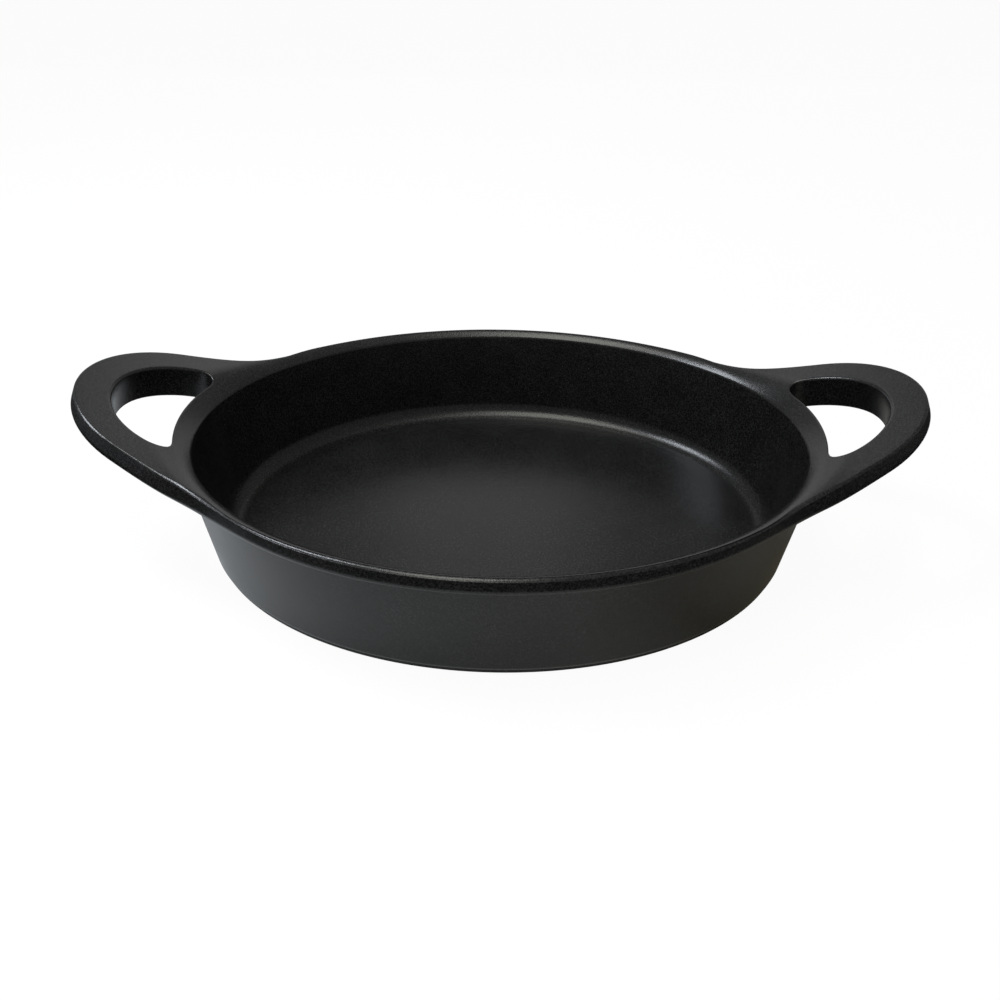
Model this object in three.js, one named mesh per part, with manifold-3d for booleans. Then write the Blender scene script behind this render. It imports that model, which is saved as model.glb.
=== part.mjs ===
import * as THREE from 'three';
import { mergeVertices } from 'three/addons/utils/BufferGeometryUtils.js';
import Module from 'manifold-3d';

const wasm = await Module();
wasm.setup();

const { degToRad, lerp, smoothstep } = THREE.MathUtils;

// Sizes are in millimetres. +Z is up from the table at z = 0, and +X runs along the handles.

// Rim and lip
const RIM_HALF_LENGTH = 140;          // inner edge of the flat rim, along X
const RIM_HALF_WIDTH = 112;           // inner edge of the flat rim, along Y
const RIM_HEIGHT = 52.2;
const LIP_WIDTH = 3.3;                // flat rim, inner edge to outer edge
const LIP_THICKNESS = 6.9;
const LIP_OVERHANG = 1.65;            // lip beyond the outer wall
const LIP_LEAN = 0.9;                 // lip's lower edge beyond its top edge
const EDGE_WIDTH = 2.2;               // rounding of the top edge, in from the edge
const EDGE_DEPTH = 0.8;               // rounding of the top edge, down the side
const LOWER_EDGE_RADIUS = 1;
const BEVEL_WIDTH = 1.5;              // slope between the flat rim and the inner wall
const BEVEL_DEPTH = 3.6;
const BEVEL_NOSE = 0.6;               // short upright face under the bevel
const RIM_SOFTNESS = 0.8;             // rounding where the bevel meets the flat rim

// Bowl
const OUTER_TAPER = degToRad(8.2);
const INNER_TAPER = degToRad(12.5);
const FLOOR_HEIGHT = 4.5;             // cooking surface above the table
const FLOOR_FILLET = 9.5;
const BASE_ROUND = 1.4;
const FOOT_HEIGHT = 1;
const FOOT_INSET = 1.7;               // foot's outer face inside the wall's lower end
const FOOT_WIDTH = 14;                // standing ring between the foot's face and the disc's recess
const LIP_ROOT_RADIUS = 0.7;          // fillet between the wall and the lip

// Handles
const HANDLE_REACH = 45.9;            // top edge of the handle's tip beyond the rim's inner edge
const HANDLE_RISE = degToRad(22.5);
const BEND_INSET = 9.9;               // rise starts this far inside the rim's end
const BEND_SOFTNESS = 15.8;
const GRIP_RADIUS = 50.9;             // outer edge of the grip, seen from above
const GRIP_WIDTH = 14;
const GRIP_LEAN = 3.1;                // grip's lower edge beyond its top edge
const GRIP_BLEND_START = 50;          // lip starts to thicken this far inside the rim's end
const GRIP_BLEND_END = 8;
const GRIP_EDGE_THICKNESS = 8.5;
const GRIP_INNER_THICKNESS = 16;
const FLANK_ANGLE = degToRad(27.2);
const FLANK_BLEND = 7;                // concave run of the flank into the lip
const FLANK_START = 40;               // flank starts this far inside the rim's end
const ROOT_RADIUS = 5;                // fillet between the wall and the handle
const ROOT_SPAN = 23.5;               // edge offset at which the fillet has its full radius
const WEB_WIDTH = 5;                  // rim's inner edge to the finger hole
const WEB_SLOPE = 1.3;                // rise of the web per millimetre outwards
const WEB_SOFTNESS = 3;
const WEB_BLEND_START = 34;           // web starts to widen this far inside the rim's end
const WEB_BLEND_END = 3;
const HOLE_CORNER_BLEND = 9.5;
const HOLE_EDGE_RADIUS = 1.2;
const HOLE_LEAN = 2;                  // hole's lower edge beyond its top edge

// Lining and base disc
const LINING_THICKNESS = 0.6;
const DISC_THICKNESS = 1;
const DISC_SETBACK = 0.2;             // disc above the standing plane
const SEAT_GAP = 0.3;                 // clearance between fitted pieces
const STUD_RADIUS = 4;
const STUD_ROOT = 0.5;                // stud's length inside the base
const STUD_RINGS = [                  // rings of cast studs, inside the recess edge
  { inset: 14, count: 18 },
  { inset: 46, count: 12 },
];

// Mesh resolution
const AROUND = 112;
const CROWDING = 0.2;                 // how much closer the strips are at the handles
const FILLET_STEPS = 4;
const HOLE_POINTS = 60;
const STUD_SIDES = 8;
const UNDER_STATIONS = [0.55, 0.7, 0.85];   // from the root to the lower edge
const LAND_STATIONS = [0.66, 0.33, 0.12];   // from the rim's crest to the top edge
const RAMP_STATIONS = [0.75, 0.4];          // from the foot of the bevel to the crest
const ROOT_STEPS = 50;                // halvings in a root search
const SLOPE_STEP = 0.01;              // half step for a slope
const CUTTER_CLEARANCE = 10;          // cutter beyond the handle's faces

// Sizes that follow from the ones above
const BEVEL_FOOT_Z = RIM_HEIGHT - BEVEL_DEPTH;
const LEDGE_Z = BEVEL_FOOT_Z - BEVEL_NOSE;
const LINING_SEAT = LINING_THICKNESS + SEAT_GAP;
const RECESS_DEPTH = DISC_SETBACK + DISC_THICKNESS + SEAT_GAP;
const GRIP_CENTRE = RIM_HALF_LENGTH + HANDLE_REACH - GRIP_RADIUS;
const HOLE_CENTRE = RIM_HALF_LENGTH + (WEB_WIDTH + HANDLE_REACH - GRIP_WIDTH) / 2;
const BASE_ROUND_Z = FOOT_HEIGHT + BASE_ROUND;
const FOOT_OFFSET = wallOffset(BASE_ROUND_Z) - FOOT_INSET;
const RECESS_OFFSET = FOOT_OFFSET - FOOT_WIDTH;
const FILLET_CENTRE_Z = FLOOR_HEIGHT + FLOOR_FILLET;
const FILLET_END_Z = FILLET_CENTRE_Z - FLOOR_FILLET * Math.sin(INNER_TAPER);
const FILLET_CENTRE_OFFSET = innerOffset(FILLET_END_Z) - FLOOR_FILLET * Math.cos(INNER_TAPER);

// Angles round the oval, closer together at the handles
const ANGLES = Array.from({ length: AROUND }, (_, i) => {
  const even = (2 * Math.PI * i) / AROUND;
  return even - CROWDING * Math.sin(2 * even);
});

function smoothMin(a, b, reach) {
  const near = Math.max(reach - Math.abs(a - b), 0) / reach;
  return Math.min(a, b) - (near * near * reach) / 4;
}

// Root of a function that is negative at low and positive at high
function bisect(f, low, high) {
  for (let i = 0; i < ROOT_STEPS; i += 1) {
    const middle = (low + high) / 2;
    if (f(middle) < 0) {
      low = middle;
    } else {
      high = middle;
    }
  }
  return (low + high) / 2;
}

// Offsets are measured outwards from the rim's inner edge
function planPoint(angle, offset) {
  return [
    (RIM_HALF_LENGTH + offset) * Math.cos(angle),
    (RIM_HALF_WIDTH + offset) * Math.sin(angle),
  ];
}

function offsetAt(x, y) {
  const outside = (offset) => 1 - Math.hypot(x / (RIM_HALF_LENGTH + offset), y / (RIM_HALF_WIDTH + offset));
  return bisect(outside, 1 - RIM_HALF_WIDTH, 2 * HANDLE_REACH);
}

function wallOffset(z) {
  return LIP_WIDTH - LIP_OVERHANG - (RIM_HEIGHT - LIP_THICKNESS - z) * Math.tan(OUTER_TAPER);
}

function innerOffset(z) {
  return -BEVEL_WIDTH - (BEVEL_FOOT_Z - z) * Math.tan(INNER_TAPER);
}

// Signed distance outside a handle seen from above: a round tip with two straight flanks
function handleDistance(x, y) {
  const along = Math.abs(x) - GRIP_CENTRE;
  const across = Math.abs(y);
  if (Math.atan2(across, along) < Math.PI / 2 - FLANK_ANGLE) {
    return Math.hypot(along, across) - GRIP_RADIUS;
  }
  const flank = along * Math.sin(FLANK_ANGLE) + across * Math.cos(FLANK_ANGLE) - GRIP_RADIUS;
  return Math.max(flank, RIM_HALF_LENGTH - FLANK_START - Math.abs(x));
}

// Offset of the outer edge, which is the lip's or a handle's
function edgeOffset(angle) {
  const outside = (offset) => {
    const handle = handleDistance(...planPoint(angle, offset));
    return smoothMin(offset - LIP_WIDTH, handle, FLANK_BLEND);
  };
  return bisect(outside, 0, 2 * HANDLE_REACH);
}

// Height of the flat rim, which bends upwards into the handles
function sheetHeight(x) {
  const past = Math.abs(x) - RIM_HALF_LENGTH + BEND_INSET;
  return RIM_HEIGHT + (Math.tan(HANDLE_RISE) * (past + Math.hypot(past, BEND_SOFTNESS))) / 2;
}

// Share of the handles' full slope that the rim has
function slopeShare(x) {
  const past = Math.abs(x) - RIM_HALF_LENGTH + BEND_INSET;
  return (1 + past / Math.hypot(past, BEND_SOFTNESS)) / 2;
}

// Rises from 0 to 1 between two places, given as distances inside the rim's end
function endShare(x, start, end) {
  return smoothstep(Math.abs(x), RIM_HALF_LENGTH - start, RIM_HALF_LENGTH - end);
}

function webShare(x) {
  return endShare(x, WEB_BLEND_START, WEB_BLEND_END);
}

function rampHeight(x, offset) {
  const slope = lerp(BEVEL_DEPTH / BEVEL_WIDTH, WEB_SLOPE, webShare(x));
  return BEVEL_FOOT_Z + slope * (offset + BEVEL_WIDTH);
}

function topHeight(x, offset) {
  const softness = lerp(RIM_SOFTNESS, WEB_SOFTNESS, webShare(x));
  return smoothMin(sheetHeight(x), rampHeight(x, offset), softness);
}

// Offset of the lower edge, which stands out because the handles' sides are square to their slope
function lowerEdge(angle, edge) {
  return edge + lerp(LIP_LEAN, GRIP_LEAN, slopeShare(planPoint(angle, edge)[0]));
}

// Underside of the lip and handles, thickest round the finger hole
function underHeight(x, offset, edge) {
  const share = endShare(x, GRIP_BLEND_START, GRIP_BLEND_END);
  const rim = lerp(LIP_THICKNESS, GRIP_EDGE_THICKNESS, share);
  const extra = share * (GRIP_INNER_THICKNESS - GRIP_EDGE_THICKNESS);
  return sheetHeight(x) - rim - extra * smoothstep(edge - offset, 0, GRIP_WIDTH);
}

// Point at a distance from one point towards another
function towards(from, to, distance) {
  const share = distance / Math.hypot(to[0] - from[0], to[1] - from[1]);
  return from.map((value, k) => lerp(value, to[k], share));
}

// Three points of a quarter round from one tangent point to the other
function quarterRound(from, corner, to) {
  const middle = [0, 1].map((k) => lerp((from[k] + to[k]) / 2, corner[k], Math.SQRT2 - 1));
  return [from, middle, to];
}

function footProfile() {
  const wall = wallOffset(BASE_ROUND_Z);
  return [
    [RECESS_OFFSET, RECESS_DEPTH],
    [RECESS_OFFSET, 0],
    [FOOT_OFFSET, 0],
    [FOOT_OFFSET, FOOT_HEIGHT],
    ...quarterRound([wall - BASE_ROUND, FOOT_HEIGHT], [wall, FOOT_HEIGHT], [wall, BASE_ROUND_Z]),
  ];
}

function topCorner(angle, edge) {
  return [edge, topHeight(planPoint(angle, edge)[0], edge)];
}

function undersideProfile(angle, edge) {
  const under = (offset) => underHeight(planPoint(angle, offset)[0], offset, edge);
  const radius = lerp(LIP_ROOT_RADIUS, ROOT_RADIUS, smoothstep(edge, LIP_WIDTH, ROOT_SPAN));
  const wall = LIP_WIDTH - LIP_OVERHANG;
  const root = under(wall + radius);
  const low = wallOffset(root - radius);
  const inner = wall + radius;
  const lower = lowerEdge(angle, edge);
  const corner = [lower, under(lower)];
  const outer = lower - LOWER_EDGE_RADIUS;
  const side = towards(corner, topCorner(angle, edge), LOWER_EDGE_RADIUS);
  const run = UNDER_STATIONS.map((share) => lerp(inner, outer, share));
  return [
    ...quarterRound([low, root - radius], [wall, root], [inner, root]),
    ...run.map((offset) => [offset, under(offset)]),
    ...quarterRound([outer, under(outer)], corner, side),
  ];
}

function topProfile(angle, edge) {
  const xAt = (offset) => planPoint(angle, offset)[0];
  const over = (offset) => rampHeight(xAt(offset), offset) - sheetHeight(xAt(offset));
  const crest = bisect(over, -BEVEL_WIDTH, HANDLE_REACH);
  const land = edge - EDGE_WIDTH;
  const top = (offset) => topHeight(xAt(offset), offset);
  const lower = lowerEdge(angle, edge);
  const side = towards(topCorner(angle, edge), [lower, underHeight(xAt(lower), lower, edge)], EDGE_DEPTH);
  const run = [
    ...LAND_STATIONS.map((share) => lerp(crest, land, share)),
    crest,
    ...RAMP_STATIONS.map((share) => lerp(-BEVEL_WIDTH, crest, share)),
    -BEVEL_WIDTH,
  ];
  return [
    ...quarterRound(side, topCorner(angle, edge), [land, top(land)]),
    ...run.map((offset) => [offset, top(offset)]),
  ];
}

// Inner wall and floor round, from the top down, grown outwards from the cooking surface
function cavityProfile(grow, topZ) {
  const radius = FLOOR_FILLET + grow;
  const arc = Array.from({ length: FILLET_STEPS + 1 }, (_, i) => {
    const angle = lerp(Math.PI / 2 - INNER_TAPER, 0, i / FILLET_STEPS);
    return [FILLET_CENTRE_OFFSET + radius * Math.sin(angle), FILLET_CENTRE_Z - radius * Math.cos(angle)];
  });
  const [offset, z] = arc[0];
  return [[offset + (topZ - z) * Math.tan(INNER_TAPER), topZ], ...arc];
}

function bodyProfile(angle) {
  const edge = edgeOffset(angle);
  return [
    ...footProfile(),
    ...undersideProfile(angle, edge),
    ...topProfile(angle, edge),
    [innerOffset(LEDGE_Z), LEDGE_Z],
    ...cavityProfile(LINING_SEAT, LEDGE_Z),
  ];
}

function liningProfile() {
  const topZ = LEDGE_Z - SEAT_GAP;
  const outside = cavityProfile(LINING_THICKNESS, topZ).reverse();
  return [...outside, ...cavityProfile(0, topZ)];
}

// Closed surface through upright strips of points, with a middle point at each end
function closedSurface(strips, startPole, endPole) {
  const size = strips[0].length;
  const points = [...strips.flat(), startPole, endPole];
  const start = points.length - 2;
  const end = points.length - 1;
  const apart = (a, b) => Math.hypot(...points[a].map((value, k) => value - points[b][k]));
  const faces = [];
  strips.forEach((_, i) => {
    const here = i * size;
    const next = ((i + 1) % strips.length) * size;
    faces.push([start, next, here], [end, here + size - 1, next + size - 1]);
    for (let j = 0; j < size - 1; j += 1) {
      const [a, b, c, d] = [here + j, next + j, next + j + 1, here + j + 1];
      if (apart(a, c) < apart(b, d)) {
        faces.push([a, b, c], [a, c, d]);
      } else {
        faces.push([a, b, d], [b, c, d]);
      }
    }
  });
  const geometry = new THREE.BufferGeometry();
  geometry.setAttribute('position', new THREE.Float32BufferAttribute(points.flat(), 3));
  geometry.setIndex(faces.flat());
  return geometry;
}

function ovalLoft(profileFor) {
  const strips = ANGLES.map((angle) => {
    const profile = profileFor(angle);
    return profile.map(([offset, z]) => [...planPoint(angle, offset), z]);
  });
  return closedSurface(strips, [0, 0, strips[0][0][2]], [0, 0, strips[0].at(-1)[2]]);
}

function toSolid(geometry) {
  geometry.deleteAttribute('normal');
  geometry.deleteAttribute('uv');
  const merged = mergeVertices(geometry);
  return new wasm.Manifold(new wasm.Mesh({
    numProp: 3,
    vertProperties: new Float32Array(merged.attributes.position.array),
    triVerts: new Uint32Array(merged.index.array),
  }));
}

function toGeometry(solid) {
  const mesh = solid.getMesh();
  const geometry = new THREE.BufferGeometry();
  geometry.setAttribute('position', new THREE.BufferAttribute(mesh.vertProperties, 3));
  geometry.setIndex(new THREE.BufferAttribute(mesh.triVerts, 1));
  geometry.computeVertexNormals();
  return geometry;
}

// Signed distance outside a finger hole seen from above: inside the grip, outside the web
function holeDistance(x, y) {
  const grip = Math.hypot(x - GRIP_CENTRE, y) - GRIP_RADIUS + GRIP_WIDTH;
  const web = WEB_WIDTH - offsetAt(x, y);
  return -smoothMin(-grip, -web, HOLE_CORNER_BLEND);
}

function holeOutline() {
  return Array.from({ length: HOLE_POINTS }, (_, i) => {
    const angle = (2 * Math.PI * i) / HOLE_POINTS;
    const at = (reach) => [HOLE_CENTRE + reach * Math.cos(angle), reach * Math.sin(angle)];
    const point = at(bisect((reach) => holeDistance(...at(reach)), 1, HANDLE_REACH));
    const [x, y] = point;
    const slopeX = holeDistance(x + SLOPE_STEP, y) - holeDistance(x - SLOPE_STEP, y);
    const slopeY = holeDistance(x, y + SLOPE_STEP) - holeDistance(x, y - SLOPE_STEP);
    const length = Math.hypot(slopeX, slopeY);
    return { point, outward: [slopeX / length, slopeY / length] };
  });
}

// Cutter for the finger hole at +X, leaning outwards and flared to round the hole's edges
function holeCutter() {
  const clear = CUTTER_CLEARANCE;
  const round = HOLE_EDGE_RADIUS;
  const knee = round * (1 - Math.SQRT1_2);
  const top = (x, y) => topHeight(x, offsetAt(x, y));
  const under = (x, y) => {
    const offset = offsetAt(x, y);
    const angle = Math.atan2(y / (RIM_HALF_WIDTH + offset), x / (RIM_HALF_LENGTH + offset));
    return underHeight(x, offset, edgeOffset(angle));
  };
  const rings = [
    { lean: HOLE_LEAN, grow: round, height: under, lift: -clear },
    { lean: HOLE_LEAN, grow: round, height: under, lift: 0 },
    { lean: HOLE_LEAN, grow: knee, height: under, lift: knee },
    { lean: HOLE_LEAN, grow: 0, height: under, lift: round },
    { lean: 0, grow: 0, height: top, lift: -round },
    { lean: 0, grow: knee, height: top, lift: -knee },
    { lean: 0, grow: round, height: top, lift: 0 },
    { lean: 0, grow: round, height: top, lift: clear },
  ];
  const strips = holeOutline().map(({ point, outward }) => rings.map(({ lean, grow, height, lift }) => {
    const x = point[0] + lean + grow * outward[0];
    const y = point[1] + grow * outward[1];
    return [x, y, height(x, y) + lift];
  }));
  const middle = sheetHeight(HOLE_CENTRE);
  return closedSurface(
    strips,
    [HOLE_CENTRE + HOLE_LEAN, 0, middle - GRIP_INNER_THICKNESS - clear],
    [HOLE_CENTRE, 0, middle + clear],
  );
}

function studCentres() {
  return STUD_RINGS.flatMap(({ inset, count }) => Array.from({ length: count }, (_, i) => {
    const angle = (2 * Math.PI * (i + 0.5)) / count;
    return planPoint(angle, RECESS_OFFSET - inset);
  }));
}

// Stud cast in one with the body, flush with the disc's lower face
function stud([x, y]) {
  const height = RECESS_DEPTH - DISC_SETBACK + STUD_ROOT;
  const size = [STUD_RADIUS, STUD_RADIUS, height];
  const geometry = new THREE.CylinderGeometry(...size, STUD_SIDES, 1, false, Math.PI / 2);
  geometry.rotateX(Math.PI / 2);
  geometry.translate(x, y, DISC_SETBACK + height / 2);
  return geometry;
}

function makeBody() {
  const cutters = [0, Math.PI].map((turn) => toSolid(holeCutter().rotateZ(turn)));
  const studs = studCentres().map((centre) => toSolid(stud(centre)));
  const bowl = toSolid(ovalLoft(bodyProfile));
  const cut = cutters.reduce((solid, cutter) => solid.subtract(cutter), bowl);
  return toGeometry(studs.reduce((solid, one) => solid.add(one), cut));
}

function makeLining() {
  return toGeometry(toSolid(ovalLoft(liningProfile)));
}

// Steel disc, pierced where the studs pass through it
function makeDisc() {
  const edge = ANGLES.map((angle) => new THREE.Vector2(...planPoint(angle, RECESS_OFFSET - SEAT_GAP)));
  const holeRadius = STUD_RADIUS + SEAT_GAP;
  const shape = new THREE.Shape(edge);
  shape.holes = studCentres().map(([x, y]) => new THREE.Path().absarc(x, y, holeRadius, 0, 2 * Math.PI));
  const geometry = new THREE.ExtrudeGeometry(shape, {
    depth: DISC_THICKNESS,
    bevelEnabled: false,
    curveSegments: STUD_SIDES / 2,
  });
  geometry.translate(0, 0, DISC_SETBACK);
  return toGeometry(toSolid(geometry));
}

const castFinish = new THREE.MeshStandardMaterial({ color: 0x343537, roughness: 0.6, metalness: 0.2 });
const liningFinish = new THREE.MeshStandardMaterial({ color: 0x1c1c1d, roughness: 0.45, metalness: 0.1 });
const steelFinish = new THREE.MeshStandardMaterial({ color: 0xb4b2ad, roughness: 0.35, metalness: 1 });

function piece(name, geometry, material) {
  const mesh = new THREE.Mesh(geometry, material);
  mesh.name = name;
  return mesh;
}

const pan = new THREE.Group();
pan.name = 'oval_casserole';
pan.add(piece('pan_body', makeBody(), castFinish));
pan.add(piece('nonstick_lining', makeLining(), liningFinish));
pan.add(piece('induction_disc', makeDisc(), steelFinish));

export default pan;
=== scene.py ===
import math

import bmesh
import bpy
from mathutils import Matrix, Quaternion, Vector


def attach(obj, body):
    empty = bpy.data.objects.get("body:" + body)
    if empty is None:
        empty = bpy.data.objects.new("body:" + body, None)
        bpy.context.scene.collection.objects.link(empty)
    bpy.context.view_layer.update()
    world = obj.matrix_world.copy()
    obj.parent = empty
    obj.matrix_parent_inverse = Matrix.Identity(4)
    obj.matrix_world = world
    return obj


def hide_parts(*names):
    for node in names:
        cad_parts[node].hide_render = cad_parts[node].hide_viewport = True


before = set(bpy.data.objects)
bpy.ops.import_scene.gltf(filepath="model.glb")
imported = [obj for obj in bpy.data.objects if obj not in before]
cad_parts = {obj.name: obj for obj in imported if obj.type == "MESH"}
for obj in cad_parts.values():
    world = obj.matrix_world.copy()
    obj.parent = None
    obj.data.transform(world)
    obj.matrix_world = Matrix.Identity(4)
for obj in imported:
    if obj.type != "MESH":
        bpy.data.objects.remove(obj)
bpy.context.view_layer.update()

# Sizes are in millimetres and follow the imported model, with finer edges. Meshes are made in metres.
MM = 0.001

# Rim and lip
RIM_HALF_LENGTH = 140
RIM_HALF_WIDTH = 112
RIM_HEIGHT = 52.2
LIP_WIDTH = 3.3
LIP_THICKNESS = 6.9
LIP_OVERHANG = 1.65
LIP_LEAN = 0.9
CROWN_WIDTH = 2.3                     # slope down to the lip's outer edge
CROWN_DROP = 0.95
CROWN_POWER = 1.5
EDGE_RADIUS = 0.3
LOWER_EDGE_RADIUS = 1.6
LOWER_EDGE_HEIGHT = 2.6
CREST_OFFSET = 1
CREST_SOFTNESS = 0.6
BEVEL_INSET = 2.7
BEVEL_SLOPE = 0.47                    # at the crest, steeper inwards
BEVEL_CURVE = 0.076
LEDGE_Z = 48.8                        # top of the lining

# Bowl
OUTER_TAPER = math.radians(8.2)
INNER_TAPER = math.radians(11.6)
FLOOR_HEIGHT = 4.5
FLOOR_INSET = 18.9                    # flat part's edge, in from the rim
FLOOR_FILLET = 9.5
BASE_ROUND = 3.5
BASE_ROUND_Z = 3.7                    # lower end of the straight wall
FOOT_INSET = 1.2
FOOT_WIDTH = 14.69
FOOT_EDGE = 0.3
LIP_ROOT_RADIUS = 0.7

# Handles
HANDLE_REACH = 45.9
HANDLE_RISE = math.radians(22.5)
BEND_INSET = 9.9
BEND_SOFTNESS = 15.8
GRIP_RADIUS = 50.9
GRIP_WIDTH = 14
GRIP_LEAN = 3.1
GRIP_CROWN_WIDTH = 1.3
GRIP_CROWN_DROP = 0.7
GRIP_BLEND_START = 50
GRIP_BLEND_END = 8
GRIP_EDGE_THICKNESS = 8.5
GRIP_INNER_THICKNESS = 16
FLANK_ANGLE = math.radians(27.2)
FLANK_BLEND = 7
FLANK_START = 40
ROOT_RADIUS = 5
ROOT_SPAN = 23.5
WEB_WIDTH = 5
WEB_INSET = 1.9
WEB_FOOT_Z = 49.6
WEB_SLOPE = 1.13
WEB_SOFTNESS = 6
WEB_BLEND_START = 40
WEB_BLEND_END = 3
HOLE_CORNER_BLEND = 9.5
HOLE_EDGE_RADIUS = 1.2
HOLE_LEAN = 2

# Lining and base disc
LINING_THICKNESS = 0.6
DISC_THICKNESS = 1
DISC_SETBACK = 0.2
DISC_EDGE = 0.25
SEAT_GAP = 0.3
STUD_RADIUS = 4
STUD_ROOT = 0.5
STUD_EDGE = 0.3
STUD_RINGS = ((14, 18), (46, 12))     # inset from the recess edge, number of studs

# Mesh resolution
AROUND = 320
CROWDING = 0.2                        # how much closer the strips are at the handles
ROUND_STEPS = 6
CROWN_STEPS = 9
EDGE_STEPS = 2                        # steps of the crown that the edge's round takes up
WALL_STEPS = 7
UNDER_STEPS = 10
TOP_STEPS = 12
CAVITY_STEPS = 8
FILLET_STEPS = 14
HIDDEN_FILLET_STEPS = 5               # under the lining
HOLE_POINTS = 180
STUD_SIDES = 40
ROOT_STEPS = 40                       # halvings in a root search
SLOPE_STEP = 0.01                     # half step for a slope
CUTTER_CLEARANCE = 10                 # hole cutter beyond the handle's faces
STUD_CLEARANCE = 1                    # stud cutter beyond the disc
SHARP_ANGLE = math.radians(35)

# Coatings, steel and paper, with depths in metres
TONE_LOW = 0.3                        # noise values at which a surface has its dark and light tones
TONE_HIGH = 0.7
MOTTLE_SCALE = 60
FLECK_SCALE = 1300
FLECK_STOPS = ((0.4, (0.5, 0.5, 0.5)), (0.7, (3.2, 3.2, 3.2)))
GRAIN_DEPTH = 0.00015
GRAIN_STRENGTH = 0.4
PEEL_SCALE = 420
PEEL_DEPTH = 0.0002
PEEL_STRENGTH = 0.1
CAST_TONES = ((0.0045, 0.0045, 0.0047), (0.0062, 0.0062, 0.0064))
CAST_ROUGHNESS = (0.22, 0.29)
CAST_SPECULAR = 0.35
LINING_TONES = ((0.005, 0.005, 0.0051), (0.007, 0.007, 0.0071))
LINING_ROUGHNESS = (0.21, 0.27)
LINING_SPECULAR = 0.28
BRUSH_STRETCH = (12, 1500, 12)
BRUSH_DEPTH = 0.00005
BRUSH_STRENGTH = 0.4
STAIN_SCALE = 40
STEEL_TONES = ((0.42, 0.41, 0.39), (0.55, 0.54, 0.52))
STEEL_ROUGHNESS = (0.28, 0.5)
PAPER_ROUGHNESS = 0.9
FLOOR_FIBRE = 900
FLOOR_TONES = ((0.95, 0.95, 0.95), (0.98, 0.98, 0.98))
# Dark card seen only in reflections, which paints dark reflections into the lip's and handles' sides
CARD_FIBRE = 300
CARD_TONES = ((0.025, 0.025, 0.025), (0.035, 0.035, 0.035))

# Camera, with distances in metres
CAMERA_DISTANCE = 0.425
CAMERA_RISE = math.radians(34.256)
CAMERA_ROLL = math.radians(0.895)
CAMERA_AIM = Vector((0.000272, 0, 0.010745))
CLIP_START = 0.01
FOCAL_PIXELS = 866.14                 # for the photograph's width
PHOTO_WIDTH = 1000
SENSOR_WIDTH = 36                     # millimetres

# Floor and light, in millimetres
FLOOR_SIZE = 12000
SEEN_LIFT = 0.95                      # painted glow's share of the floor, to the eye
REFLECTED_LIFT = 0.7                  # and in reflections, where the glow paints light and shade
PAINTED_LIGHT_ACROSS = (-170, 130)             # from left to right, where the painted light in reflections turns to painted shade
# Painted light and shade in reflections: bright and cool on the left, neutral in the middle, dark and
# warm on the right
PAINTED_LIGHT_AND_SHADE_STOPS = (
    (0, (0.75, 0.82, 0.89)),
    (0.38, (0.55, 0.59, 0.6)),
    (0.7, (0.5, 0.5, 0.48)),
    (0.87, (0.09, 0.08, 0.04)),
)
PAINTED_GAP_ALONG = (-40, 120)               # from front to back, with a painted dark gap beside the pan in reflections
PAINTED_SHADE_GAP_STOPS = ((0, (1, 1, 1)), (0.38, (0, 0, 0)), (0.7, (0, 0, 0)), (1, (1, 1, 1)))
WORLD_FILL = 0.32
CARD_START = math.radians(-215)       # left, as an angle round the oval
CARD_END = math.radians(55)           # right
CARD_CLEAR = 75                       # between the rim and the dark card
CARD_REACH = 775
CARD_HEIGHT = 0.5
CARD_STEPS = 80

# Sizes that follow from the ones above
RECESS_DEPTH = DISC_SETBACK + DISC_THICKNESS + SEAT_GAP
GRIP_CENTRE = RIM_HALF_LENGTH + HANDLE_REACH - GRIP_RADIUS
HOLE_CENTRE = RIM_HALF_LENGTH + (WEB_WIDTH + HANDLE_REACH - GRIP_WIDTH) / 2


def lerp(a, b, share):
    return a + (b - a) * share


def spread(start, end, count):
    """Numbers from start to end, both included."""
    return [lerp(start, end, i / (count - 1)) for i in range(count)]


def smoothstep(value, low, high):
    share = min(max((value - low) / (high - low), 0), 1)
    return share * share * (3 - 2 * share)


def smooth_min(a, b, reach):
    near = max(reach - abs(a - b), 0) / reach
    return min(a, b) - near * near * reach / 4


def bisect(function, low, high):
    """Root of a function that is negative at low and positive at high."""
    for _ in range(ROOT_STEPS):
        middle = (low + high) / 2
        if function(middle) < 0:
            low = middle
        else:
            high = middle
    return (low + high) / 2


def quarter_round(start, corner, end, steps=ROUND_STEPS):
    """Points of a rounded corner between two tangent points."""
    points = []
    for turn in spread(0, math.pi / 2, steps + 1):
        back = 1 - math.sin(turn)
        on = 1 - math.cos(turn)
        points.append(tuple(c + (s - c) * back + (e - c) * on for s, c, e in zip(start, corner, end)))
    return points


# Plan and heights of the rim and handles, where an offset is measured outwards from the rim's inner edge
def plan_point(angle, offset):
    return (RIM_HALF_LENGTH + offset) * math.cos(angle), (RIM_HALF_WIDTH + offset) * math.sin(angle)


def offset_at(x, y):
    def outside(offset):
        return 1 - math.hypot(x / (RIM_HALF_LENGTH + offset), y / (RIM_HALF_WIDTH + offset))
    return bisect(outside, 1 - RIM_HALF_WIDTH, 2 * HANDLE_REACH)


def wall_offset(z):
    return LIP_WIDTH - LIP_OVERHANG - (RIM_HEIGHT - LIP_THICKNESS - z) * math.tan(OUTER_TAPER)


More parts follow.
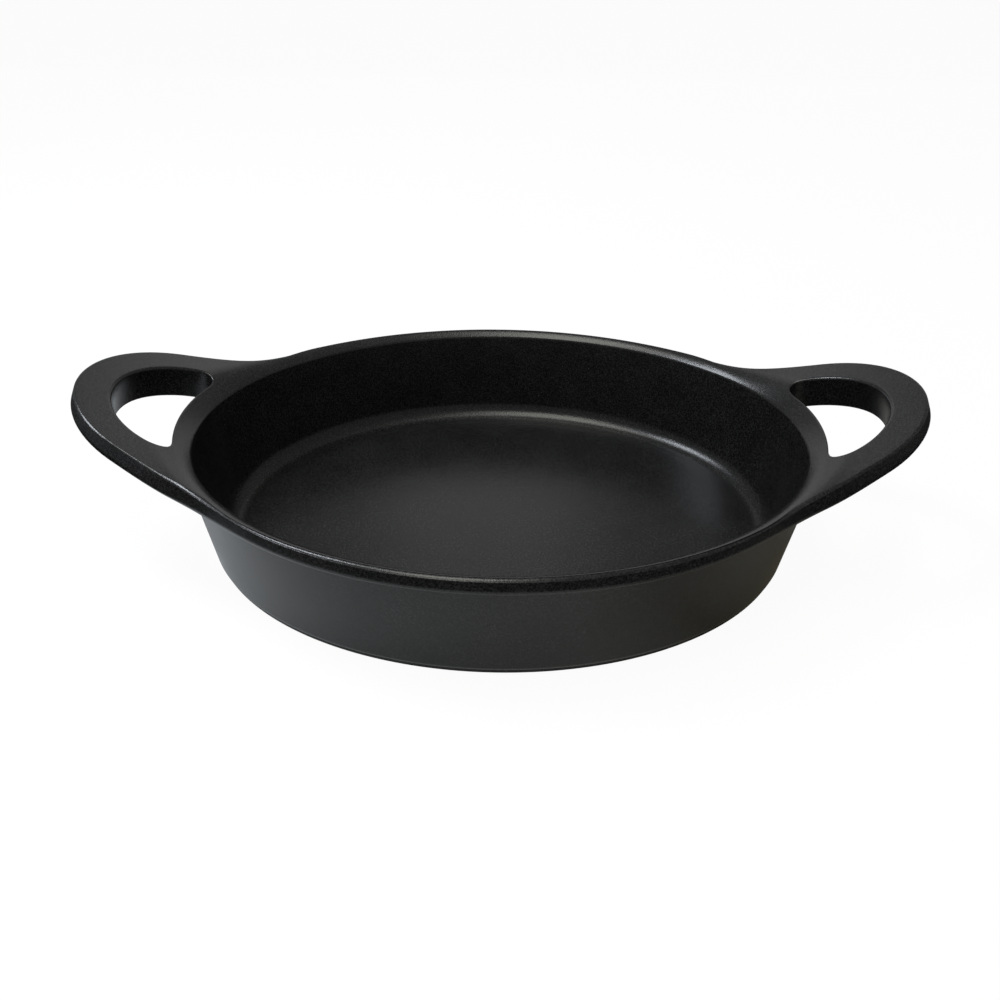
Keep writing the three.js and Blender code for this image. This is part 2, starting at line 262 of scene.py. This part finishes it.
def handle_distance(x, y):
    """Signed distance outside a handle seen from above: a round tip with two straight flanks."""
    along = abs(x) - GRIP_CENTRE
    across = abs(y)
    if math.atan2(across, along) < math.pi / 2 - FLANK_ANGLE:
        return math.hypot(along, across) - GRIP_RADIUS
    flank = along * math.sin(FLANK_ANGLE) + across * math.cos(FLANK_ANGLE) - GRIP_RADIUS
    return max(flank, RIM_HALF_LENGTH - FLANK_START - abs(x))


def edge_offset(angle):
    """Offset of the outer edge, which is the lip's or a handle's."""
    def outside(offset):
        handle = handle_distance(*plan_point(angle, offset))
        return smooth_min(offset - LIP_WIDTH, handle, FLANK_BLEND)
    return bisect(outside, 0, 2 * HANDLE_REACH)


def sheet_height(x):
    """Height of the flat rim, which bends upwards into the handles."""
    past = abs(x) - RIM_HALF_LENGTH + BEND_INSET
    return RIM_HEIGHT + math.tan(HANDLE_RISE) * (past + math.hypot(past, BEND_SOFTNESS)) / 2


def slope_share(x):
    """Share of the handles' full slope that the rim has."""
    past = abs(x) - RIM_HALF_LENGTH + BEND_INSET
    return (1 + past / math.hypot(past, BEND_SOFTNESS)) / 2


def end_share(x, start, end):
    """Rises from 0 to 1 between two places, given as distances inside the rim's end."""
    return smoothstep(abs(x), RIM_HALF_LENGTH - start, RIM_HALF_LENGTH - end)


def web_share(x):
    return end_share(x, WEB_BLEND_START, WEB_BLEND_END)


def bevel_height(x, offset):
    """Rim's slope down to the inside, which is the straight slope of the web at the handles."""
    inside = CREST_OFFSET - offset
    bevel = RIM_HEIGHT - inside * (BEVEL_SLOPE + BEVEL_CURVE * max(inside, 0))
    web = WEB_FOOT_Z + WEB_SLOPE * (offset + WEB_INSET)
    return lerp(bevel, web, web_share(x))


def bevel_foot(angle):
    """Offset and height of the bevel's lower edge."""
    share = web_share(plan_point(angle, 0)[0])
    offset = -lerp(BEVEL_INSET, WEB_INSET, share)
    return offset, bevel_height(plan_point(angle, offset)[0], offset)


def top_height(x, offset):
    softness = lerp(CREST_SOFTNESS, WEB_SOFTNESS, web_share(x))
    return smooth_min(sheet_height(x), bevel_height(x, offset), softness)


def lower_edge(angle, edge):
    """Offset of the lower edge, beyond the top edge because the sides are square to the slope."""
    return edge + lerp(LIP_LEAN, GRIP_LEAN, slope_share(plan_point(angle, edge)[0]))


def under_height(x, offset, edge):
    """Underside of the lip and handles, thickest round the finger hole."""
    share = end_share(x, GRIP_BLEND_START, GRIP_BLEND_END)
    rim = lerp(LIP_THICKNESS, GRIP_EDGE_THICKNESS, share)
    extra = share * (GRIP_INNER_THICKNESS - GRIP_EDGE_THICKNESS)
    return sheet_height(x) - rim - extra * smoothstep(edge - offset, 0, GRIP_WIDTH)


# Places that follow from the walls
FOOT_OFFSET = wall_offset(BASE_ROUND_Z) - FOOT_INSET
RECESS_OFFSET = FOOT_OFFSET - FOOT_WIDTH
FILLET_CENTRE_Z = FLOOR_HEIGHT + FLOOR_FILLET
FILLET_END_Z = FILLET_CENTRE_Z - FLOOR_FILLET * math.sin(INNER_TAPER)
FILLET_END_OFFSET = FLOOR_FILLET * math.cos(INNER_TAPER) - FLOOR_INSET


# Profiles, each a list of offsets and heights
def base_round():
    """Arc from the foot's outer face up to the wall."""
    centre = wall_offset(BASE_ROUND_Z) - BASE_ROUND * math.cos(OUTER_TAPER)
    centre_z = BASE_ROUND_Z + BASE_ROUND * math.sin(OUTER_TAPER)
    start = math.acos((FOOT_OFFSET - centre) / BASE_ROUND)
    points = []
    for turn in spread(start, OUTER_TAPER, 2 * ROUND_STEPS):
        points.append((centre + BASE_ROUND * math.cos(turn), centre_z - BASE_ROUND * math.sin(turn)))
    return points


def foot_profile():
    edge = FOOT_EDGE
    return [
        (RECESS_OFFSET, RECESS_DEPTH),
        *quarter_round((RECESS_OFFSET, edge), (RECESS_OFFSET, 0), (RECESS_OFFSET + edge, 0)),
        *quarter_round((FOOT_OFFSET - edge, 0), (FOOT_OFFSET, 0), (FOOT_OFFSET, edge)),
        *base_round(),
    ]


def crown(angle, edge):
    """Slope of the top down to its outer edge, from the edge inwards."""
    share = slope_share(plan_point(angle, edge)[0])
    width = lerp(CROWN_WIDTH, GRIP_CROWN_WIDTH, share)
    drop = lerp(CROWN_DROP, GRIP_CROWN_DROP, share)
    points = []
    for part in spread(1, 0, CROWN_STEPS):
        offset = edge - width * (1 - part)
        height = top_height(plan_point(angle, offset)[0], offset)
        points.append((offset, height - drop * part ** CROWN_POWER))
    return points


def lower_corner(angle, edge):
    lower = lower_edge(angle, edge)
    return lower, under_height(plan_point(angle, lower)[0], lower, edge)


def towards(start, end, distance):
    """Point at a distance from one point towards another."""
    share = distance / math.dist(start, end)
    return tuple(lerp(a, b, share) for a, b in zip(start, end))


def underside_profile(angle, edge):
    def under(offset):
        return under_height(plan_point(angle, offset)[0], offset, edge)
    radius = lerp(LIP_ROOT_RADIUS, ROOT_RADIUS, smoothstep(edge, LIP_WIDTH, ROOT_SPAN))
    wall = LIP_WIDTH - LIP_OVERHANG
    inner = wall + radius
    corner = lower_corner(angle, edge)
    outer = corner[0] - LOWER_EDGE_RADIUS
    face = towards(corner, crown(angle, edge)[0], LOWER_EDGE_HEIGHT)
    root = under(inner)
    low = root - radius
    side = [(wall_offset(z), z) for z in spread(BASE_ROUND_Z, low, WALL_STEPS)[1:-1]]
    run = [(offset, under(offset)) for offset in spread(inner, outer, UNDER_STEPS)[1:-1]]
    return [
        *side,
        *quarter_round((wall_offset(low), low), (wall, root), (inner, root)),
        *run,
        *quarter_round((outer, under(outer)), corner, face),
    ]


def top_profile(angle, edge):
    def x_at(offset):
        return plan_point(angle, offset)[0]

    def over(offset):
        return bevel_height(x_at(offset), offset) - sheet_height(x_at(offset))

    def top(offset):
        return top_height(x_at(offset), offset)
    foot = bevel_foot(angle)[0]
    crest = bisect(over, foot, HANDLE_REACH)
    slope = crown(angle, edge)
    corner = slope[0]
    land = slope[-1][0]
    face = towards(corner, lower_corner(angle, edge), EDGE_RADIUS)
    inner = towards(corner, slope[-1], EDGE_RADIUS)
    flat = [(offset, top(offset)) for offset in spread(land, crest, TOP_STEPS)[1:]]
    bevel = [(offset, top(offset)) for offset in spread(crest, foot, TOP_STEPS)[1:]]
    return [
        *quarter_round(face, corner, inner),
        *slope[EDGE_STEPS:],
        *flat,
        *bevel,
    ]


def cavity_profile(angle, grow, steps):
    """Inner wall and floor round, from the top down, grown outwards from the cooking surface."""
    radius = FLOOR_FILLET + grow
    arc = []
    for turn in spread(math.pi / 2 - INNER_TAPER, 0, steps):
        offset = radius * math.sin(turn) - FLOOR_INSET
        arc.append((offset, FILLET_CENTRE_Z - radius * math.cos(turn)))
    foot, foot_z = bevel_foot(angle)
    lean = (foot - FILLET_END_OFFSET) / (foot_z - FILLET_END_Z)
    low_offset, low = arc[0]
    wall = [(low_offset + (z - low) * lean, z) for z in spread(LEDGE_Z, low, CAVITY_STEPS)[:-1]]
    return wall + arc


def body_profile(angle):
    edge = edge_offset(angle)
    return [
        *foot_profile(),
        *underside_profile(angle, edge),
        *top_profile(angle, edge),
        cavity_profile(angle, 0, HIDDEN_FILLET_STEPS)[0],
        *cavity_profile(angle, LINING_THICKNESS, HIDDEN_FILLET_STEPS),
    ]


def lining_profile(angle):
    outside = cavity_profile(angle, LINING_THICKNESS, HIDDEN_FILLET_STEPS)[::-1]
    return outside + cavity_profile(angle, 0, FILLET_STEPS)


def disc_profile(angle):
    """Disc's edge, which is the same at every angle."""
    rim = RECESS_OFFSET - SEAT_GAP
    low = DISC_SETBACK
    top = low + DISC_THICKNESS
    edge = DISC_EDGE
    return [
        *quarter_round((rim - edge, low), (rim, low), (rim, low + edge)),
        *quarter_round((rim, top - edge), (rim, top), (rim - edge, top)),
    ]


# Meshes
def closed_mesh(name, strips, start_pole, end_pole):
    """Closed surface through upright strips of points, with a middle point at each end."""
    size = len(strips[0])
    points = [point for strip in strips for point in strip]
    start = len(points)
    end = start + 1
    points += [start_pole, end_pole]
    faces = []
    for i in range(len(strips)):
        here = i * size
        after = (i + 1) % len(strips) * size
        faces.append((start, after, here))
        faces.append((end, here + size - 1, after + size - 1))
        for j in range(size - 1):
            faces.append((here + j, after + j, after + j + 1, here + j + 1))
    mesh = bpy.data.meshes.new(name)
    mesh.from_pydata([[value * MM for value in point] for point in points], [], faces)
    return mesh


def oval_loft(name, profile_for):
    strips = []
    for i in range(AROUND):
        even = 2 * math.pi * i / AROUND
        angle = even - CROWDING * math.sin(2 * even)
        strips.append([(*plan_point(angle, offset), z) for offset, z in profile_for(angle)])
    return closed_mesh(name, strips, (0, 0, strips[0][0][2]), (0, 0, strips[0][-1][2]))


def hole_distance(x, y):
    """Signed distance outside a finger hole seen from above: inside the grip, outside the web."""
    grip = math.hypot(x - GRIP_CENTRE, y) - GRIP_RADIUS + GRIP_WIDTH
    web = WEB_WIDTH - offset_at(x, y)
    return -smooth_min(-grip, -web, HOLE_CORNER_BLEND)


def hole_outline():
    """Points round the finger hole at +X, each with its outward direction."""
    step = SLOPE_STEP
    centre = Vector((HOLE_CENTRE, 0))
    outline = []
    for i in range(HOLE_POINTS):
        turn = 2 * math.pi * i / HOLE_POINTS
        ray = Vector((math.cos(turn), math.sin(turn)))
        reach = bisect(lambda r: hole_distance(*(centre + r * ray)), 1, HANDLE_REACH)
        x, y = centre + reach * ray
        slope_x = hole_distance(x + step, y) - hole_distance(x - step, y)
        slope_y = hole_distance(x, y + step) - hole_distance(x, y - step)
        outline.append((Vector((x, y)), Vector((slope_x, slope_y)).normalized()))
    return outline


def hole_cutter(side):
    """Cutter for a finger hole, leaning outwards and flared to round the hole's edges."""
    clear = CUTTER_CLEARANCE
    radius = HOLE_EDGE_RADIUS

    def top(x, y):
        return top_height(x, offset_at(x, y))

    def under(x, y):
        offset = offset_at(x, y)
        angle = math.atan2(y / (RIM_HALF_WIDTH + offset), x / (RIM_HALF_LENGTH + offset))
        return under_height(x, offset, edge_offset(angle))
    flare = quarter_round((radius, 0), (0, 0), (0, radius))
    rings = [(HOLE_LEAN, radius, under, -clear)]
    rings += [(HOLE_LEAN, grow, under, lift) for grow, lift in flare]
    rings += [(0, grow, top, -lift) for grow, lift in flare[::-1]]
    rings += [(0, radius, top, clear)]
    strips = []
    for point, outward in hole_outline():
        strip = []
        for lean, grow, height, lift in rings:
            x, y = point + grow * outward + Vector((lean, 0))
            strip.append((side * x, side * y, height(x, y) + lift))
        strips.append(strip)
    middle = sheet_height(HOLE_CENTRE)
    low = (side * (HOLE_CENTRE + HOLE_LEAN), 0, middle - GRIP_INNER_THICKNESS - clear)
    high = (side * HOLE_CENTRE, 0, middle + clear)
    return closed_mesh("hole_cutter", strips, low, high)


def stud_centres():
    centres = []
    for inset, count in STUD_RINGS:
        for i in range(count):
            centres.append(plan_point(2 * math.pi * (i + 0.5) / count, RECESS_OFFSET - inset))
    return centres


def pin(centre, profile):
    """Round pin standing on its centre, from a profile of radii and heights."""
    strips = []
    for i in range(STUD_SIDES):
        turn = 2 * math.pi * i / STUD_SIDES
        ray = Vector((math.cos(turn), math.sin(turn)))
        strips.append([(*(Vector(centre) + radius * ray), z) for radius, z in profile])
    return closed_mesh("pin", strips, (*centre, profile[0][1]), (*centre, profile[-1][1]))


def stud(centre):
    """Stud of the casting, whose end is flush with the disc."""
    radius = STUD_RADIUS
    low = DISC_SETBACK
    end = quarter_round((radius - STUD_EDGE, low), (radius, low), (radius, low + STUD_EDGE))
    return pin(centre, [*end, (radius, RECESS_DEPTH + STUD_ROOT)])


def stud_hole(centre):
    """Cutter for a stud's hole in the disc."""
    radius = STUD_RADIUS + SEAT_GAP
    return pin(centre, [(radius, -STUD_CLEARANCE), (radius, RECESS_DEPTH + STUD_CLEARANCE)])


def new_object(name, mesh):
    piece = bpy.data.objects.new(name, mesh)
    bpy.context.scene.collection.objects.link(piece)
    return piece


def joined(name, meshes):
    """One mesh from several that don't touch."""
    made = bmesh.new()
    for mesh in meshes:
        made.from_mesh(mesh)
        bpy.data.meshes.remove(mesh)
    mesh = bpy.data.meshes.new(name)
    made.to_mesh(mesh)
    made.free()
    return mesh


def combine(mesh, tool_mesh, operation):
    """Mesh after a cut or a join with a tool mesh."""
    base = new_object("combine_base", mesh)
    tool = new_object("combine_tool", tool_mesh)
    step = base.modifiers.new("combine", "BOOLEAN")
    step.operation = operation
    step.solver = "MANIFOLD"
    step.object = tool
    graph = bpy.context.evaluated_depsgraph_get()
    result = bpy.data.meshes.new_from_object(base.evaluated_get(graph))
    bpy.data.objects.remove(base)
    bpy.data.objects.remove(tool)
    return result


def smooth_piece(name, mesh, material):
    """Piece that stands for the node of the same name, shaded smooth between its hard edges."""
    mesh.materials.clear()
    mesh.materials.append(material)
    mesh.shade_smooth()
    mesh.set_sharp_from_angle(angle=SHARP_ANGLE)
    piece = new_object(name + "_fine", mesh)
    weighted = piece.modifiers.new("weighted_normals", "WEIGHTED_NORMAL")
    weighted.keep_sharp = True
    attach(piece, "root")
    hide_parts(name)


# Materials
def add_node(tree, kind, settings=None, inputs=None):
    node = tree.nodes.new(kind)
    for name, value in (settings or {}).items():
        setattr(node, name, value)
    for name, value in (inputs or {}).items():
        node.inputs[name].default_value = value
    return node


def new_material(name):
    material = bpy.data.materials.new(name)
    material.use_nodes = True
    tree = material.node_tree
    return material, tree, tree.nodes["Principled BSDF"]


def noise(tree, place, scale, detail):
    node = add_node(tree, "ShaderNodeTexNoise", None, {"Scale": scale, "Detail": detail})
    tree.links.new(place, node.inputs["Vector"])
    return node.outputs["Fac"]


def ranged(tree, value, low, high):
    """Number from 0 to 1 moved to the range from low to high."""
    node = add_node(tree, "ShaderNodeMapRange", None, {"To Min": low, "To Max": high})
    tree.links.new(value, node.inputs["Value"])
    return node.outputs["Result"]


def colour_ramp(tree, value, stops):
    node = add_node(tree, "ShaderNodeValToRGB")
    ramp = node.color_ramp
    while len(ramp.elements) < len(stops):
        ramp.elements.new(0.5)
    for element, (position, colour) in zip(ramp.elements, stops):
        element.position = position
        element.color = (*colour, 1)
    tree.links.new(value, node.inputs["Fac"])
    return node.outputs["Color"]


def two_tones(tree, value, tones):
    """Colour from a dark tone to a light one, by a noise's value."""
    dark, light = tones
    return colour_ramp(tree, value, ((TONE_LOW, dark), (TONE_HIGH, light)))


def multiplied(tree, colour, other):
    node = add_node(tree, "ShaderNodeMix", {"data_type": "RGBA", "blend_type": "MULTIPLY"}, {"Factor": 1})
    tree.links.new(colour, node.inputs["A"])
    tree.links.new(other, node.inputs["B"])
    return node.outputs["Result"]


def bump(tree, height, distance, strength, before=None):
    node = add_node(tree, "ShaderNodeBump", None, {"Distance": distance, "Strength": strength})
    tree.links.new(height, node.inputs["Height"])
    if before:
        tree.links.new(before, node.inputs["Normal"])
    return node.outputs["Normal"]


def object_place(tree):
    """Places in the object's own frame, in metres."""
    return add_node(tree, "ShaderNodeTexCoord").outputs["Object"]


def coating(name, tones, rough_range, specular):
    """Dark sprayed non-stick coating: soft mottling, fine flecks and a faint orange peel."""
    material, tree, shader = new_material(name)
    place = object_place(tree)
    mottle = noise(tree, place, MOTTLE_SCALE, detail=3)
    fleck = noise(tree, place, FLECK_SCALE, detail=2)
    peel = noise(tree, place, PEEL_SCALE, detail=2)
    base = two_tones(tree, mottle, tones)
    flecks = colour_ramp(tree, fleck, FLECK_STOPS)
    tree.links.new(multiplied(tree, base, flecks), shader.inputs["Base Color"])
    tree.links.new(ranged(tree, mottle, *rough_range), shader.inputs["Roughness"])
    grain = bump(tree, fleck, GRAIN_DEPTH, GRAIN_STRENGTH)
    tree.links.new(bump(tree, peel, PEEL_DEPTH, PEEL_STRENGTH, grain), shader.inputs["Normal"])
    shader.inputs["Specular IOR Level"].default_value = specular
    return material


def brushed_steel():
    """Steel plate with straight brush lines and faint stains."""
    material, tree, shader = new_material("brushed_steel")
    place = object_place(tree)
    stretch = add_node(tree, "ShaderNodeMapping", None, {"Scale": BRUSH_STRETCH})
    tree.links.new(place, stretch.inputs["Vector"])
    lines = noise(tree, stretch.outputs["Vector"], scale=1, detail=4)
    stain = noise(tree, place, STAIN_SCALE, detail=3)
    tree.links.new(two_tones(tree, stain, STEEL_TONES), shader.inputs["Base Color"])
    tree.links.new(ranged(tree, lines, *STEEL_ROUGHNESS), shader.inputs["Roughness"])
    tree.links.new(bump(tree, lines, BRUSH_DEPTH, BRUSH_STRENGTH), shader.inputs["Normal"])
    shader.inputs["Metallic"].default_value = 1
    return material


def paper(name, fibre_scale, tones):
    """Matt paper with fine fibres."""
    material, tree, shader = new_material(name)
    fibre = noise(tree, object_place(tree), fibre_scale, detail=3)
    tree.links.new(two_tones(tree, fibre, tones), shader.inputs["Base Color"])
    shader.inputs["Roughness"].default_value = PAPER_ROUGHNESS
    shader.inputs["Specular IOR Level"].default_value = 0
    return material, tree, shader


def floor_paper():
    """White paper with a painted glow that hides most of its shadows from the eye, and many of them from
    reflections, where it shows painted light and shade instead.
    """
    material, tree, shader = paper("floor_paper", FLOOR_FIBRE, FLOOR_TONES)
    plain = add_node(tree, "ShaderNodeEmission")
    mixed = add_node(tree, "ShaderNodeMixShader")
    tree.links.new(painted_floor_glow(tree), plain.inputs["Color"])
    tree.links.new(floor_lift(tree), mixed.inputs["Fac"])
    tree.links.new(shader.outputs["BSDF"], mixed.inputs[1])
    tree.links.new(plain.outputs["Emission"], mixed.inputs[2])
    tree.links.new(mixed.outputs["Shader"], tree.nodes["Material Output"].inputs["Surface"])
    return material


def floor_lift(tree):
    """Share of the floor's painted glow that a ray sees."""
    ray = add_node(tree, "ShaderNodeLightPath").outputs
    mirrored = add_node(tree, "ShaderNodeMath", {"operation": "MAXIMUM"})
    tree.links.new(ray["Is Glossy Ray"], mirrored.inputs[0])
    tree.links.new(ray["Is Transmission Ray"], mirrored.inputs[1])
    reflected = ranged(tree, mirrored.outputs["Value"], 0, REFLECTED_LIFT)
    seen = ranged(tree, ray["Is Camera Ray"], 0, SEEN_LIFT)
    lift = add_node(tree, "ShaderNodeMath", {"operation": "MAXIMUM"})
    tree.links.new(seen, lift.inputs[0])
    tree.links.new(reflected, lift.inputs[1])
    return lift.outputs["Value"]


def share_between(tree, value, ends):
    """Number from 0 to 1 for a place between two ends in millimetres."""
    start, end = ends
    node = add_node(tree, "ShaderNodeMapRange", None, {"From Min": start * MM, "From Max": end * MM})
    tree.links.new(value, node.inputs["Value"])
    return node.outputs["Result"]


def painted_floor_glow(tree):
    """Colour of the floor's painted glow: white to the eye, and in reflections painted light on the left,
    painted shade on the right and a painted dark gap beside the pan.
    """
    apart = add_node(tree, "ShaderNodeSeparateXYZ")
    tree.links.new(object_place(tree), apart.inputs["Vector"])
    across = share_between(tree, apart.outputs["X"], PAINTED_LIGHT_ACROSS)
    along = share_between(tree, apart.outputs["Y"], PAINTED_GAP_ALONG)
    # painted light on the left and painted shade on the right, with a painted dark gap beside the pan,
    # seen only in reflections
    painted_light_and_shade = colour_ramp(tree, across, PAINTED_LIGHT_AND_SHADE_STOPS)
    gap = colour_ramp(tree, along, PAINTED_SHADE_GAP_STOPS)
    glow = add_node(tree, "ShaderNodeMix", {"data_type": "RGBA"}, {"B": (1, 1, 1, 1)})
    ray = add_node(tree, "ShaderNodeLightPath").outputs
    tree.links.new(ray["Is Camera Ray"], glow.inputs["Factor"])
    tree.links.new(multiplied(tree, painted_light_and_shade, gap), glow.inputs["A"])
    return glow.outputs["Result"]


# Pan
def build_pan():
    """Casting with its holes and studs, lining and disc."""
    cast = coating("cast_coating", CAST_TONES, CAST_ROUGHNESS, CAST_SPECULAR)
    inside = coating("lining_coating", LINING_TONES, LINING_ROUGHNESS, LINING_SPECULAR)
    holes = joined("holes", [hole_cutter(1), hole_cutter(-1)])
    body = combine(oval_loft("body", body_profile), holes, "DIFFERENCE")
    studs = joined("studs", [stud(centre) for centre in stud_centres()])
    body = combine(body, studs, "UNION")
    smooth_piece("pan_body", body, cast)
    smooth_piece("nonstick_lining", oval_loft("lining", lining_profile), inside)
    stud_holes = joined("stud_holes", [stud_hole(centre) for centre in stud_centres()])
    disc = combine(oval_loft("disc", disc_profile), stud_holes, "DIFFERENCE")
    smooth_piece("induction_disc", disc, brushed_steel())


# Studio
def add_camera():
    data = bpy.data.cameras.new("camera")
    data.sensor_width = SENSOR_WIDTH
    data.sensor_fit = "HORIZONTAL"
    data.lens = SENSOR_WIDTH * FOCAL_PIXELS / PHOTO_WIDTH
    data.clip_start = CLIP_START
    camera = bpy.data.objects.new("camera", data)
    bpy.context.scene.collection.objects.link(camera)
    camera.location = CAMERA_DISTANCE * Vector((0, -math.cos(CAMERA_RISE), math.sin(CAMERA_RISE)))
    look = (CAMERA_AIM - camera.location).to_track_quat("-Z", "Y")
    camera.rotation_mode = "QUATERNION"
    camera.rotation_quaternion = look @ Quaternion((0, 0, 1), CAMERA_ROLL)
    bpy.context.scene.camera = camera


def add_floor():
    half = FLOOR_SIZE * MM / 2
    mesh = bpy.data.meshes.new("floor")
    corners = [(-half, -half, 0), (half, -half, 0), (half, half, 0), (-half, half, 0)]
    mesh.from_pydata(corners, [], [(0, 1, 2, 3)])
    mesh.materials.append(floor_paper())
    new_object("floor", mesh)


def add_dark_card():
    """Dark card on the floor round the pan that only reflections see: it paints dark reflections into the
    lip's and handles' sides.
    """
    points = []
    for angle in spread(CARD_START, CARD_END, CARD_STEPS):
        for offset in (CARD_CLEAR, CARD_REACH):
            x, y = plan_point(angle, offset)
            points.append((x * MM, y * MM, CARD_HEIGHT * MM))
    faces = [(2 * i, 2 * i + 1, 2 * i + 3, 2 * i + 2) for i in range(CARD_STEPS - 1)]
    mesh = bpy.data.meshes.new("dark_card")
    mesh.from_pydata(points, [], faces)
    mesh.materials.append(paper("reflection_dark_card", CARD_FIBRE, CARD_TONES)[0])
    card = new_object("dark_card", mesh)
    card.visible_camera = False
    card.visible_diffuse = False
    card.visible_shadow = False


def add_softbox(name, direction, distance, size, radiance, colour, turn=0):
    """Lamp aimed at the pan, with its azimuth and rise in degrees and its size in metres."""
    data = bpy.data.lights.new(name, "AREA")
    data.shape = "RECTANGLE"
    data.size, data.size_y = size
    data.energy = radiance * math.pi * size[0] * size[1]
    data.color = colour
    lamp = bpy.data.objects.new(name, data)
    bpy.context.scene.collection.objects.link(lamp)
    azimuth, rise = (math.radians(angle) for angle in direction)
    lamp.location = distance * Vector((
        math.sin(azimuth) * math.cos(rise), math.cos(azimuth) * math.cos(rise), math.sin(rise)))
    lamp.rotation_mode = "QUATERNION"
    aim = (-lamp.location).to_track_quat("-Z", "Y")
    lamp.rotation_quaternion = aim @ Quaternion((0, 0, 1), math.radians(turn))
    lamp.visible_camera = False


def light_world():
    """World that is white to the eye and a plain fill for the rest."""
    world = bpy.data.worlds.new("studio")
    world.use_nodes = True
    bpy.context.scene.world = world
    tree = world.node_tree
    background = tree.nodes["Background"]
    background.inputs["Color"].default_value = (1, 1, 1, 1)
    seen = add_node(tree, "ShaderNodeLightPath").outputs["Is Camera Ray"]
    tree.links.new(ranged(tree, seen, WORLD_FILL, 1), background.inputs["Strength"])


bpy.context.scene.view_settings.view_transform = "Standard"
add_camera()
add_floor()
light_world()
add_dark_card()
add_softbox(
    "window", direction=(-75, 57), distance=1.1, size=(0.34, 0.28), radiance=24, colour=(0.88, 0.93, 1))
add_softbox(
    "overhead", direction=(-129, 78.5), distance=1.2, size=(0.68, 0.42), radiance=7.4,
    colour=(1, 0.99, 0.92), turn=-39)
add_softbox(
    "pale_wall", direction=(-1.8, 36), distance=1.3, size=(0.41, 0.6), radiance=0.56, colour=(1, 1, 0.98))
add_softbox(
    "low_wall", direction=(0, 11), distance=1.6, size=(2.2, 0.5), radiance=0.3, colour=(1, 1, 1))
build_pan()
